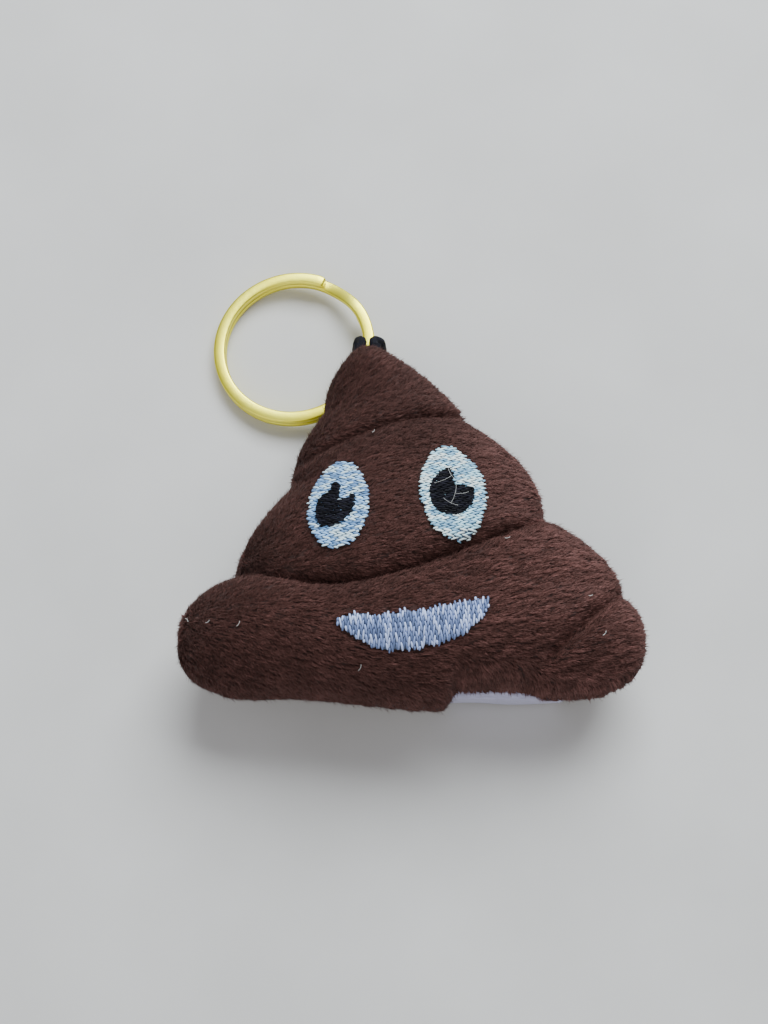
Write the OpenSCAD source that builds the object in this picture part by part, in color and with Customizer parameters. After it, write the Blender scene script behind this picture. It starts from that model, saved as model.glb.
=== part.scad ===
// Small plush keychain: a four-tier soft swirl pile with an embroidered face,
// hung by a black cord loop from a gold split ring.
// It lies on its back: X to the right, Y towards the ring, Z out of the face.
// The origin is on the surface it rests on, under the middle of the body.
// All sizes are in millimetres.

/* [Soft body] */
// Y of the top edge of the tip
tip_y = 24.8; // [24.5:0.1:25.2]
// Y of the bottom edge
bottom_y = -32.2; // [-32.6:0.1:-31.8]
// Height of the side seam above the rest surface at the tip
seam_z_tip = 8.6; // [8.4:0.1:9]
// Height of the side seam above the rest surface over the body
seam_z_body = 11.5; // [11:0.1:12]
// Front bulge above the seam at the tip
front_tip = 6; // [5:0.5:7]
// Front bulge above the seam over the two lower tiers
front_body = 14.5; // [12:0.5:15]
// Back bulge below the seam at the tip
back_tip = 3.2; // [2.8:0.1:3.3]
// Back bulge below the seam over the body, before the table flattens it
back_body = 13.5; // [12.5:0.5:14]
// Thickness of the pile fabric, backing and pile together
fabric_t = 1.2; // [0.8:0.1:1.4]
// Depth of the sewn creases between the tiers, as a share of the bulge
crease_depth = 0.13; // [0.05:0.01:0.16]

/* [Embroidered face] */
// Half width of an eye
eye_w = 4.5; // [4:0.1:4.8]
// Half height of an eye
eye_h = 7.1; // [6:0.1:7.2]
// Radius of a pupil
pupil_r = 2.95; // [2.6:0.05:3.1]
// Width of the smile
smile_w = 22; // [18:0.5:23]
// Depth of the smile at its middle
smile_h = 4.9; // [4:0.1:5.4]
// Height that the embroidery stands above the pile
stitch_t = 0.35; // [0.3:0.05:0.5]

/* [Split ring] */
// Outside diameter of the split ring
ring_od = 26.4; // [26:0.1:26.6]
// Radial width of the ring's flat wire
wire_w = 1.85; // [1.7:0.05:1.9]
// Height of one coil of the wire
wire_h = 1.2; // [1.1:0.05:1.25]
// Slope of the ring, which lies on the surface at its left edge
ring_tilt = 5; // [4.5:0.1:5.5]
// Length of the crossover from the upper to the lower coil, degrees
ramp_a = 36; // [30:1:44]
// Direction of the crossover seen from the ring's centre, degrees
ramp_dir = 49; // [40:1:90]

/* [Cord loop] */
// Diameter of the cord
cord_d = 1.4; // [1.2:0.1:1.5]
// Half distance between the two strands where they leave the seam
loop_root = 1.45; // [1.3:0.05:1.6]
// Half distance between the two strands beside the ring
loop_half = 2.15; // [2.1:0.05:2.2]

/* [Care label] */
// Width of the label
label_w = 16.5; // [12:0.5:17]
// Thickness of the folded label
label_t = 0.4; // [0.3:0.05:0.5]

/* [Hidden] */
$fn = 48;

// ---------- outline of the sewn body ----------
// One row per tier: upper y, lower y, x at the top, x at the bottom, fullness
right_tiers = [[tip_y, 11.2, -0.8, 13, 1.6], [11.2, -5.8, 13, 24.5, 2.2],
  [-5.8, -17.8, 24.5, 35.8, 1.9], [-17.8, -23.6, 35.8, 38.8, 2]];
left_tiers = [[tip_y, 13.2, -4.7, -9.8, 2.4], [13.2, -0.8, -9.8, -14.6, 2],
  [-0.8, -14.8, -14.6, -22.6, 1.7], [-14.8, -23.6, -22.6, -30.8, 2.3]];
function edge_x(y, tiers, k = 0) =
  k >= len(tiers) ? undef :
  (y <= tiers[k][0] && y >= tiers[k][1]) ?
    let(a = tiers[k], t = (a[0] - y) / (a[0] - a[1]))
      a[2] + (a[3] - a[2]) * (1 - pow(1 - t, a[4])) :
  edge_x(y, tiers, k + 1);
// below the widest point both lobes close on a quarter of a round end
function lobe(y) = let(t = min(1, (-23.6 - y) / (-23.6 - bottom_y))) pow(max(0, 1 - pow(t, 2.9)), 1 / 2.9);
function x_right(y) = y < -23.6 ? 26 + 12.8 * lobe(y) : edge_x(min(y, tip_y), right_tiers);
function x_left(y) = y < -23.6 ? -18 - 12.8 * lobe(y) : edge_x(min(y, tip_y), left_tiers);
function x_mid(y) = (x_right(y) + x_left(y)) / 2;
function x_half(y) = (x_right(y) - x_left(y)) / 2;

function smooth(t) = let(c = min(1, max(0, t))) c * c * (3 - 2 * c);
function mix(a, b, t) = a + (b - a) * t;
function seam_z(y) = mix(seam_z_body, seam_z_tip, smooth((y + 2) / 22));
function front_h(y) = mix(front_tip, front_body, smooth((22 - y) / 34));
function back_h(y) = mix(back_tip, back_body, smooth((13.5 - y) / 8));
// rounding at the tip and along the bottom edge
function cap(y, d) = let(a = min(1, max(0, (tip_y - d - y) / 5)), b = min(1, max(0, (y - bottom_y - d) / 10)))
  sqrt(max(0, 1 - (1 - a) * (1 - a))) * sqrt(max(0, 1 - (1 - b) * (1 - b)));
function fullness(y) = mix(2.1, 2.7, smooth((10 - y) / 30));
function dome(u, y) = sqrt(max(0, 1 - pow(min(1, abs(u)), fullness(y))));

// ---------- creases between the tiers ----------
function crease1_y(x) = 10.5 - 9.6 * pow(min(1, max(0, (8 - x) / 24)), 1.3) + 0.3 * max(0, x - 8);
function crease2_y(x) = -6.2 - 11.4 * (1 - pow(1 - min(1, max(0, (25 - x) / 32)), 1.5)) + 2.6 * smooth((-8 - x) / 14);
function crease3_y(x) = -19.4 - 0.87 * (32.4 - x);
function dip(v, w) = exp(-(v * v) / (w * w));
function crease(x, y) = crease_depth * max(
  dip(y - crease1_y(x), 1.5), dip(y - crease2_y(x), 1.7),
  0.6 * dip(y - crease3_y(x), 1.8) * smooth((x - 18) / 6));

// front height at a point, d inside the outer surface
function front_z(x, y, d = 0) = let(u = (x - x_mid(y)) / (x_half(y) - d))
  seam_z(y) + (front_h(y) - d) * dome(u, y) * cap(y, d) * (1 - crease(x, y));
// the same height under embroidery, which holds the creases half open
function face_z(x, y) = seam_z(y) + front_h(y) * dome((x - x_mid(y)) / x_half(y), y) * cap(y, 0) * (1 - crease(x, y) / 2);
function back_z(x, y, d = 0) = let(u = (x - x_mid(y)) / (x_half(y) - d))
  max(d, seam_z(y) - (back_h(y) - d) * dome(u, y) * cap(y, d));

// rows run from the tip to the bottom edge, columns from left to right
// the bottom edge stands out at the closing and is drawn in above the label
function edge_shift(x, y) = smooth((-27 - y) / 5) * (
  1.0 * smooth((x - 7.5) / 2.5) * smooth((29 - x) / 2.5) - 0.9 * smooth((x + 1.5) / 2.5) * smooth((9 - x) / 2.5));
rows = 30; cols = 18;
function row_y(i, m, d) = let(s = i / m, t = 0.7 * s + 0.15 * (1 - cos(180 * s)))
  mix(tip_y - d, bottom_y + d, t);
function outline_y(i, m) = row_y(i, m, 0);
function col_u(j, n) = -cos(180 * j / n);
function grid_pt(i, j, m, n, d, front, gap) =
  let(yo = outline_y(i, m), y = row_y(i, m, d), u = col_u(j, n),
      x = x_mid(yo) + u * (x_half(yo) - d),
      w = dome(u, yo) * (i == 0 || i == m ? 0 : cap(y, d)),
      z = front ? seam_z(yo) + gap + (front_h(yo) - d) * w * (1 - crease(x, yo))
                : max(d, seam_z(yo) - gap - (back_h(yo) - d) * w))
  [x, y + edge_shift(x, yo), z];
function grid(m, n, d, front, gap) =
  [for (i = [0:m]) for (j = [0:n]) grid_pt(i, j, m, n, d, front, gap)];
function border(m, n) = concat(
  [for (j = [0:n]) j], [for (i = [1:m]) i * (n + 1) + n],
  [for (j = [n - 1:-1:0]) m * (n + 1) + j], [for (i = [m - 1:-1:1]) i * (n + 1)]);
function quads(m, n, o, flip) = [for (i = [0:m - 1]) for (j = [0:n - 1])
  let(a = o + i * (n + 1) + j, b = a + 1, c = a + n + 2, e = a + n + 1)
  each (flip ? [[a, c, b], [a, e, c]] : [[a, b, c], [a, c, e]])];

// a sewn panel: outer surface, inner surface and the cut edge between them
module shell(front, gap) {
  m = rows; n = cols; k = (m + 1) * (n + 1);
  b = border(m, n); q = len(b);
  pts = concat(grid(m, n, 0, front, gap), grid(m, n, fabric_t, front, gap));
  rim = [for (t = [0:q - 1]) let(a = b[t], c = b[(t + 1) % q])
    each (front ? [[c, a, a + k], [c, a + k, c + k]] : [[a, c, a + k], [c, c + k, a + k]])];
  faces = concat(rim, quads(m, n, k, front), quads(m, n, 0, !front));
  polyhedron(pts, faces, convexity = 8);
}
// a closed cushion between a front and a back surface
module core(d, m, n) {
  k = (m + 1) * (n + 1);
  b = border(m, n); q = len(b);
  pts = concat(grid(m, n, d, true, 0.2), grid(m, n, d, false, 0.2));
  faces = concat(quads(m, n, 0, false), quads(m, n, k, true),
    [for (t = [0:q - 1]) let(a = b[t], c = b[(t + 1) % q]) each [[c, a, a + k], [c, a + k, c + k]]]);
  polyhedron(pts, faces, convexity = 8);
}

// a thin patch that follows the front surface; the patch is given by rows of
// [y, x start, x end], lo and hi are heights above the outer surface
module patch(lines, n, lo, hi) {
  m = len(lines) - 1; k = (m + 1) * (n + 1);
  b = border(m, n); q = len(b);
  flat = [for (l = lines) for (j = [0:n]) let(s = j / n)
    [mix(l[1][0], l[2][0], s), mix(l[1][1], l[2][1], s)]];
  pts = concat([for (p = flat) [p[0], p[1], face_z(p[0], p[1]) + hi]],
               [for (p = flat) [p[0], p[1], face_z(p[0], p[1]) + lo]]);
  faces = concat(quads(m, n, 0, false), quads(m, n, k, true),
    [for (t = [0:q - 1]) let(a = b[t], c = b[(t + 1) % q]) each [[c, a, a + k], [c, a + k, c + k]]]);
  polyhedron(pts, faces, convexity = 6);
}
// rows of a leaning oval, from its top to its bottom
function oval(cx, cy, w, h, lean, m) = [for (i = [0:m])
  let(t = 90 - 180 * i / m, hw = w * max(0.18, cos(t)), dy = h * sin(t),
      c = cos(lean), s = sin(lean))
  [0, [cx - hw * c - dy * s, cy - hw * s + dy * c], [cx + hw * c - dy * s, cy + hw * s + dy * c]]];
// rows of a crescent, from its left corner to its right corner
function crescent(cx, cy, w, h, lean, m) = [for (i = [0:m])
  let(t = -1 + 2 * i / m, x = cx + t * w / 2,
      top = cy + 0.9 * t * t, low = top - max(0.25, h * pow(max(0, 1 - t * t), 0.75)))
  [0, [x, low + lean * t], [x, top + lean * t]]];

// a round tube of n sides along a list of points
function unit(v) = v / max(1e-6, norm(v));
function tube_ring(p, i, r, n, up) =
  let(a = p[max(0, i - 1)], b = p[min(len(p) - 1, i + 1)], t = unit(b - a),
      s = unit(cross(t, up)), w = cross(s, t))
  [for (k = [0:n - 1]) let(f = 360 * k / n) p[i] + r * (cos(f) * s + sin(f) * w)];
module tube(p, r, n = 8, up = [0, 0, 1]) {
  m = len(p);
  pts = [for (i = [0:m - 1]) each tube_ring(p, i, r, n, up)];
  faces = concat([[for (k = [n - 1:-1:0]) k]], [[for (k = [0:n - 1]) (m - 1) * n + k]],
    [for (i = [0:m - 2]) for (k = [0:n - 1]) let(a = i * n + k, b = i * n + (k + 1) % n)
      each [[a, b, a + n], [b, b + n, a + n]]]);
  polyhedron(pts, faces, convexity = 10);
}
module closed_tube(p, r, n, up) {
  m = len(p);
  ring = function(i) let(a = p[(i + m - 1) % m], b = p[(i + 1) % m], t = unit(b - a),
    s = unit(cross(t, up)), w = cross(s, t))
    [for (k = [0:n - 1]) let(f = 360 * k / n) p[i] + r * (cos(f) * s + sin(f) * w)];
  pts = [for (i = [0:m - 1]) each ring(i)];
  faces = [for (i = [0:m - 1]) for (k = [0:n - 1])
    let(a = i * n + k, b = i * n + (k + 1) % n, c = ((i + 1) % m) * n + k, e = ((i + 1) % m) * n + (k + 1) % n)
    each [[a, b, c], [b, e, c]]];
  polyhedron(pts, faces, convexity = 10);
}

// ---------- cord loop ----------
// where the two strands leave the tip, and the middle of the loop beside the ring
loop_x = -2.6; loop_y = tip_y + 1.3; loop_z = seam_z_tip;
ring_x = -14.6; ring_y = 27.2;
ring_h = 2 * wire_h + 0.04;
ring_z = ring_h / 2 * cos(ring_tilt) + ring_od / 2 * sin(ring_tilt);
band_x = ring_x + (ring_od - wire_w) / 2 * cos(ring_tilt);
// one strand from its root down and under the ring: offset share, y, z
strand = [[0, 0, 0], [0.05, 0.4, -0.15], [0.2, 0.8, -0.8], [0.5, 1.1, -1.8],
  [0.9, 1.2, -3], [1, 1.1, -4.4], [1, 0.9, -5.6]];
loop_route = concat(
  [for (p = strand) [mix(loop_x, band_x, smooth(p[0])) - mix(loop_root, loop_half, p[0]), loop_y + p[1], loop_z + p[2]]],
  [for (a = [150:-20:30]) [band_x + loop_half * cos(a) * 1.0, loop_y + 0.7, 2.9 - 2.05 * sin(a)]],
  [for (k = [6:-1:0]) let(p = strand[k]) [mix(loop_x, band_x, smooth(p[0])) + mix(loop_root, loop_half, p[0]), loop_y + p[1], loop_z + p[2]]]);

module front_panel() {
  color([0.25, 0.16, 0.14]) shell(true, 0.2);
}
module back_panel() {
  color([0.22, 0.14, 0.12]) shell(false, 0.2);
}
module stuffing() {
  color([0.95, 0.95, 0.93]) difference() {
    core(fabric_t + 0.55, rows, cols);
    tail_room();
    translate([loop_x - 3, 19.6, loop_z - 1.3]) cube([6, 1.8, 2.6]);
  }
}
// non-woven backing sewn behind the face, between the fabric and the filling
module embroidery_backing() {
  i0 = 10; i1 = 26; j0 = 5; j1 = 13; m = i1 - i0; n = j1 - j0; k = (m + 1) * (n + 1);
  b = border(m, n); q = len(b);
  face_grid = function(d) [for (i = [i0:i1]) for (j = [j0:j1]) grid_pt(i, j, rows, cols, d, true, 0.2)];
  color([0.9, 0.9, 0.9]) polyhedron(concat(face_grid(fabric_t + 0.15), face_grid(fabric_t + 0.3)),
    concat(quads(m, n, 0, false), quads(m, n, k, true),
      [for (t = [0:q - 1]) let(a = b[t], c = b[(t + 1) % q]) each [[c, a, a + k], [c, a + k, c + k]]]), convexity = 6);
}
module tail_room() {
  for (s = [-1, 1]) translate([loop_x + s * loop_root, 18.4, loop_z]) rotate([-90, 0, 0])
    cylinder(d = cord_d + 0.3, h = tip_y - 18, $fn = 8);
}
// the stitched patches start this far above the pile's tips
lift = 0.55;
left_eye = [-6.9, -6.2]; right_eye = [9.8, -4.4];
module left_eye_white() { color([0.82, 0.87, 0.93]) patch(oval(left_eye[0], left_eye[1], eye_w, eye_h, -7, 10), 6, lift, lift + stitch_t); }
module right_eye_white() { color([0.85, 0.9, 0.95]) patch(oval(right_eye[0], right_eye[1], eye_w + 0.2, eye_h + 0.4, 5, 10), 6, lift, lift + stitch_t); }
module pupil(x, y, r, h) {
  difference() {
    patch(oval(x, y, r, r + 0.75, 0, 8), 5, lift + stitch_t + 0.12, lift + stitch_t + 0.42);
    translate([x + r * 0.75, y + r * 0.95, 10]) cylinder(r = r * h, h = 30, $fn = 16);
  }
}
module left_pupil() { color([0.08, 0.07, 0.1]) pupil(-7, -6.2, pupil_r, 0.5); }
module right_pupil() { color([0.08, 0.07, 0.1]) pupil(9.8, -4.5, pupil_r + 0.25, 0.62); }
module smile() { color([0.78, 0.82, 0.9]) patch(crescent(3.8, -22.9, smile_w, smile_h, 1.25, 14), 4, lift, lift + stitch_t); }

module perimeter_seam() {
  m = rows; n = cols; b = border(m, n);
  p = [for (t = b) let(i = floor(t / (n + 1)), j = t % (n + 1)) if (i > 0 || abs(j - n / 2) > 6)
    let(yo = outline_y(i, m), d = fabric_t / 2, u = col_u(j, n))
    let(x = x_mid(yo) + u * (x_half(yo) - d)) [x, row_y(i, m, d) + edge_shift(x, yo), seam_z(yo)]];
  color([0.16, 0.09, 0.08]) closed_tube(p, 0.12, 4, [0, 0, 1]);
}
module crease_thread(xs, f) {
  color([0.14, 0.08, 0.07]) tube([for (x = xs) [x, f(x), front_z(x, f(x)) + 0.42]], 0.14, 5);
}
module upper_crease_stitch() { crease_thread([for (x = [-10:1.5:9.5]) x], function(x) crease1_y(x)); }
module lower_crease_stitch() { crease_thread([for (x = [-18:2:20]) x], function(x) crease2_y(x)); }
module lobe_crease_stitch() { crease_thread([for (x = [24:1.4:32.4]) x], function(x) crease3_y(x)); }
module closing_stitch() {
  color([0.14, 0.08, 0.07]) for (x = [-1:2.2:8]) translate([x, bottom_y - 0.6 + edge_shift(x, bottom_y), seam_z_body - 1])
    rotate([0, 12, 0]) cylinder(d = 0.34, h = 2, $fn = 16);
}
module loop_tails() {
  color([0.05, 0.05, 0.06]) for (s = [-1, 1]) translate([loop_x + s * loop_root, 18.6, loop_z]) rotate([-90, 0, 0])
    cylinder(d = cord_d, h = tip_y - 18.2, $fn = 24);
}
module loop_bar_tack() {
  color([0.14, 0.08, 0.07]) for (y = [20:0.5:21]) for (s = [-1, 1])
    translate([loop_x - 2.5, y, loop_z + s * 0.95]) rotate([0, 90, 0]) cylinder(d = 0.35, h = 5, $fn = 16);
}
module hanging_loop() { color([0.06, 0.06, 0.07]) tube(loop_route, cord_d / 2, 10, [0, 1, 0.4]); }

// two coils of flat wire joined by one sloping crossover
module coil(z) {
  translate([0, 0, z]) rotate([0, 0, ramp_dir + ramp_a / 2])
    rotate_extrude(angle = 360 - ramp_a, $fn = 120)
      translate([ring_od / 2 - wire_w, 0]) square([wire_w, wire_h]);
}
module ramp() {
  steps = 6; a0 = ramp_dir - ramp_a / 2; da = ramp_a / steps; rm = ring_od / 2 - wire_w / 2;
  len = 2 * rm * sin(da / 2) + 0.35; fall = (wire_h + 0.04) / steps;
  for (i = [0:steps - 1]) rotate([0, 0, a0 + (i + 0.5) * da])
    translate([rm * cos(da / 2), 0, 0.02 + wire_h / 2 - (i + 0.5) * fall])
      rotate([-atan(fall / (2 * rm * sin(da / 2))), 0, 0])
        translate([-wire_w / 2 + 0.02, -len / 2, -wire_h / 2 + 0.02]) cube([wire_w - 0.1, len, wire_h - 0.04]);
}
module split_ring() {
  color([0.88, 0.76, 0.32]) translate([ring_x, ring_y, ring_z]) rotate([0, -ring_tilt, 0])
    union() { coil(0.02); coil(-0.02 - wire_h); ramp(); }
}
// folded label: it hangs from the bottom seam down to the table, with a slight bow
function label_pt(f, out) = [bottom_y + 0.2 + 1.0 * f * f - out, seam_z_body - 0.6 - 10.3 * f];
module care_label() {
  color([0.93, 0.93, 0.97]) translate([10, 0, 0]) rotate([90, 0, 90]) linear_extrude(height = label_w)
    polygon(concat([for (f = [0:0.125:1]) label_pt(f, 0)], [for (f = [1:-0.125:0]) label_pt(f, label_t)]));
}

front_panel();
back_panel();
stuffing();
embroidery_backing();
left_eye_white();
right_eye_white();
left_pupil();
right_pupil();
smile();
perimeter_seam();
upper_crease_stitch();
lower_crease_stitch();
lobe_crease_stitch();
closing_stitch();
loop_tails();
loop_bar_tack();
hanging_loop();
split_ring();
care_label();
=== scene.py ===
import math
import bpy
import numpy as np
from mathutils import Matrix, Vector


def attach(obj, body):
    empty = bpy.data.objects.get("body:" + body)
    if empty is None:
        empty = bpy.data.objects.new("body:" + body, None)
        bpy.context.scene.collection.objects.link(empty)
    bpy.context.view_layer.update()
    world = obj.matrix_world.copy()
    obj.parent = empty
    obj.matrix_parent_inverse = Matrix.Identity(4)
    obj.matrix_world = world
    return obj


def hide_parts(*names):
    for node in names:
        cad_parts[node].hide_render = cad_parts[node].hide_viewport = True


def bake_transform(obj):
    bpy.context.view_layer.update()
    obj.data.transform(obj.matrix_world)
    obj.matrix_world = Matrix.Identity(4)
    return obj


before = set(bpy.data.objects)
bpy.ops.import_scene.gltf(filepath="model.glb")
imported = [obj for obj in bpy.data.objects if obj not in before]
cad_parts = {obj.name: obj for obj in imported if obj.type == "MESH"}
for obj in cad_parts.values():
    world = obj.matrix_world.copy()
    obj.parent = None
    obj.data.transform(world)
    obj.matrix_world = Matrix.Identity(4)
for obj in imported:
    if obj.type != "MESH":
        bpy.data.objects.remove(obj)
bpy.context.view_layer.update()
MM = 0.001
rng = np.random.default_rng(11)

# ------------------------------------------------------------------ camera
F_PX, PITCH, HEIGHT = 1500.0, math.radians(17.5), 0.228
cam_data = bpy.data.cameras.new("camera")
cam = bpy.data.objects.new("camera", cam_data)
bpy.context.scene.collection.objects.link(cam)
cam_data.lens = F_PX / 1024.0 * 36.0
cam_data.sensor_width = 36.0
cam_data.sensor_fit = "AUTO"
cam_data.clip_start = 0.005
cam_data.clip_end = 20
cam.location = (0, -HEIGHT * math.tan(PITCH), HEIGHT)
cam.rotation_euler = (PITCH, 0, 0)
bpy.context.scene.camera = cam

# ------------------------------------------------------------------ body shape, in millimetres
TIP_Y, BOTTOM_Y = 24.8, -32.2
SEAM_TIP, SEAM_BODY = 8.6, 11.5
FRONT_TIP, FRONT_BODY = 6.0, 14.5
BACK_TIP, BACK_BODY = 3.2, 13.5
RIGHT = [(TIP_Y, 11.2, -0.8, 13, 1.6), (11.2, -5.8, 13, 24.5, 2.2), (-5.8, -17.8, 24.5, 35.8, 1.9), (-17.8, -23.6, 35.8, 38.8, 2)]
LEFT = [(TIP_Y, 13.2, -4.7, -9.8, 2.4), (13.2, -0.8, -9.8, -14.6, 2), (-0.8, -14.8, -14.6, -22.6, 1.7), (-14.8, -23.6, -22.6, -30.8, 2.3)]


def smooth(t):
    c = np.clip(t, 0, 1)
    return c * c * (3 - 2 * c)


def mix(a, b, t):
    return a + (b - a) * t


def edge_x(y, tiers):
    y = np.clip(np.asarray(y, float), tiers[-1][1], TIP_Y)
    out = np.full_like(y, tiers[-1][3])
    for hi, lo, a, b, p in tiers:
        m = (y <= hi) & (y >= lo)
        t = (hi - y) / (hi - lo)
        out = np.where(m, a + (b - a) * (1 - np.power(np.clip(1 - t, 0, 1), p)), out)
    return out


def lobe(y):
    t = np.clip((-23.6 - y) / (-23.6 - BOTTOM_Y), 0, 1)
    return np.power(np.maximum(0, 1 - np.power(t, 2.9)), 1 / 2.9)


def x_right(y):
    return np.where(y < -23.6, 26 + 12.8 * lobe(y), edge_x(y, RIGHT))


def x_left(y):
    return np.where(y < -23.6, -18 - 12.8 * lobe(y), edge_x(y, LEFT))


def x_mid(y):
    return (x_right(y) + x_left(y)) / 2


def x_half(y):
    return (x_right(y) - x_left(y)) / 2


def seam_z(y):
    return mix(SEAM_BODY, SEAM_TIP, smooth((y + 2) / 22))


def front_h(y):
    return mix(FRONT_TIP, FRONT_BODY, smooth((22 - y) / 34))


def back_h(y):
    return mix(BACK_TIP, BACK_BODY, smooth((13.5 - y) / 8))


def cap(y, d):
    a = np.clip((TIP_Y - d - y) / 5, 0, 1)
    b = np.clip((y - BOTTOM_Y - d) / 10, 0, 1)
    return np.sqrt(np.maximum(0, 1 - (1 - a) ** 2)) * np.sqrt(np.maximum(0, 1 - (1 - b) ** 2))


def fullness(y):
    return mix(2.1, 2.7, smooth((10 - y) / 30))


def dome(u, y):
    return np.sqrt(np.maximum(0, 1 - np.power(np.minimum(1, np.abs(u)), fullness(y))))


def crease1_y(x):
    return 10.5 - 9.6 * np.power(np.clip((8 - x) / 24, 0, 1), 1.3) + 0.3 * np.maximum(0, x - 8)


def crease2_y(x):
    return -6.2 - 11.4 * (1 - np.power(1 - np.clip((25 - x) / 32, 0, 1), 1.5)) + 2.6 * smooth((-8 - x) / 14)


def crease3_y(x):
    return -19.4 - 0.87 * (32.4 - x)


def dip(v, w):
    return np.exp(-(v * v) / (w * w))


def value_noise(x, y, seed):
    """Smooth value noise of the plane, from hashed lattice values, -1 to 1."""
    xi, yi = np.floor(x).astype(np.int64), np.floor(y).astype(np.int64)
    fx, fy = smooth(x - xi), smooth(y - yi)

    def h(a, b):
        n = (a * 374761393 + b * 668265263 + seed * 974634777) & 0x7FFFFFFF
        n = ((n ^ (n >> 13)) * 1274126177) & 0x7FFFFFFF
        return ((n ^ (n >> 16)) & 0xFFFF) / 32767.5 - 1.0

    return mix(mix(h(xi, yi), h(xi + 1, yi), fx), mix(h(xi, yi + 1), h(xi + 1, yi + 1), fx), fy)


def fbm(x, y, seed, octaves=3):
    out, amp = 0, 1.0
    for k in range(octaves):
        out = out + amp * value_noise(x * 2**k, y * 2**k, seed + 31 * k)
        amp *= 0.5
    return out / 1.75


def crease_share(x, y):
    return 0.13 * np.maximum(np.maximum(dip(y - crease1_y(x), 1.5), dip(y - crease2_y(x), 1.7)),
                             0.6 * dip(y - crease3_y(x), 1.8) * smooth((x - 18) / 6))


def crease_cut(x, y):
    """The narrow fold at the bottom of each crease, in millimetres."""
    c1 = dip(y - crease1_y(x), 0.85) * (0.75 + 0.25 * smooth((x - 2) / 6))
    c2 = dip(y - crease2_y(x), 0.75)
    c3 = 1.35 * dip(0.75 * (y - crease3_y(x)), 1.0) * smooth((x - 20) / 5)
    return 1.2 * np.maximum(np.maximum(c1, c2), c3)


def edge_shift(x, y):
    """The bottom edge stands out at the closing and is drawn in above the label."""
    drawn_in = 0.85 * smooth((x - 8.6) / 2.0) * smooth((24.4 - x) / 4.6)
    closing = 1.75 * (0.8 + 0.2 * smooth(x / 7) + 0.04 * np.sin(1.9 * x)) * smooth((x + 14) / 18) * smooth((10.4 - x) / 2.4)
    ends = 0.25 + 0.3 * smooth((x - 20) / 4) - 0.45 * smooth((x - 31) / 2.5) + 0.3 * smooth((-14 - x) / 5) - 0.45 * smooth((-22.5 - x) / 2.5)
    return smooth((-27 - y) / 5) * (drawn_in - closing - ends)


PUFF = {}  # displacement of the cloth, filled in by the simulation below


def puff(u, t, front):
    """Displacement of the sewn cloth at cross position u and length position t, in millimetres."""
    if front not in PUFF:
        return 0.0
    d = PUFF[front]
    m, n = d.shape[0] - 1, d.shape[1] - 1
    fi, fj = np.clip(t, 0, 1) * m, np.clip(np.arccos(np.clip(-u, -1, 1)) / np.pi, 0, 1) * n
    i, j = np.clip(np.floor(fi).astype(int), 0, m - 1), np.clip(np.floor(fj).astype(int), 0, n - 1)
    a, b = (fi - i)[..., None], (fj - j)[..., None]
    return d[i, j] * (1 - a) * (1 - b) + d[i + 1, j] * a * (1 - b) + d[i, j + 1] * (1 - a) * b + d[i + 1, j + 1] * a * b


def sheet_points(u, y_row, d, front):
    """Points of the sewn surface, d inside its outer size, from the cross position u and the row's y."""
    t = (TIP_Y - y_row) / (TIP_Y - BOTTOM_Y)
    y = mix(TIP_Y - d, BOTTOM_Y + d, t)
    x = x_mid(y_row) + u * (x_half(y_row) - d)
    w = dome(u, y_row) * cap(y, d)
    lump = 0.16 * fbm(x / 7.0, y / 7.0, 5 if front else 9) * smooth(w * 2)
    if front:
        z = seam_z(y_row) + 0.0 + (front_h(y_row) - d) * w * (1 - crease_share(x, y)) - crease_cut(x, y) * smooth(w * 3) + lump
    else:
        z = seam_z(y_row) - (back_h(y_row) - d) * w * (1 - 0.5 * crease_share(x, y)) + lump
        z = 0.45 + 0.5 * ((z - 0.45) + np.sqrt((z - 0.45) ** 2 + 0.15))
        z = np.where(w > 0, z, seam_z(y_row))
        z = np.minimum(z, seam_z(y_row))
    p = np.stack([x, y + edge_shift(x, y_row), z], -1) + puff(u, t, front)
    p[..., 2] = np.maximum(p[..., 2], 0.3)
    return p


SKIN = 0.85


def skin_grid(m, n, d, front):
    s = np.linspace(0, 1, m + 1)
    t = 0.7 * s + 0.15 * (1 - np.cos(np.pi * s))
    rows = mix(TIP_Y, BOTTOM_Y, t)
    u = -np.cos(np.pi * np.linspace(0, 1, n + 1))
    U, Y = np.meshgrid(u, rows)
    return sheet_points(U, Y, d, front)


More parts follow.
